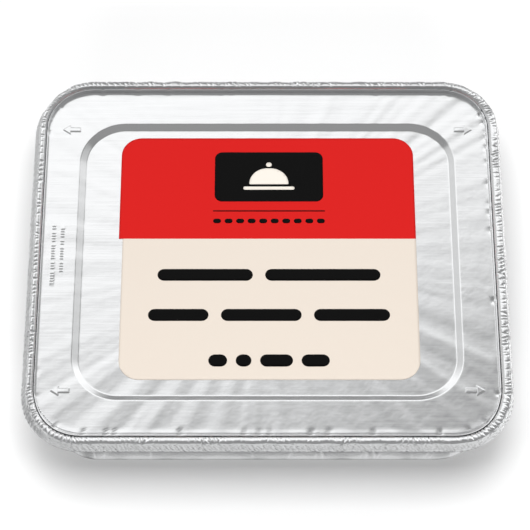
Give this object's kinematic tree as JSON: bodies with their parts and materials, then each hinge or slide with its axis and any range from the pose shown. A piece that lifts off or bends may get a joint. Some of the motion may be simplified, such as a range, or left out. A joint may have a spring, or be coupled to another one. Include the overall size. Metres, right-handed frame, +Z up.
{
  "type": "foil tray meal",
  "caption": "Shut half-size aluminium foil tray with a rolled rim over its skirt, a stepped foil lid tucked inside the rim and a printed label on the lid.",
  "frame": {"origin": "centre of the base, on the surface the tray stands on", "axes": "+X along the long side, +Y to the back (the label's top edge), +Z up"},
  "size_m": [0.313, 0.2714, 0.063],
  "materials": {
    "tray_foil": "bright rolled foil, wrinkled over the rim",
    "lid_foil": "bright rolled foil, lightly creased",
    "label_print": "coated paper label, red header over a cream field"
  },
  "bodies": {
    "root": {"tray": "tray_foil", "lid": "lid_foil", "label": "label_print"}
  },
  "joints": []
}
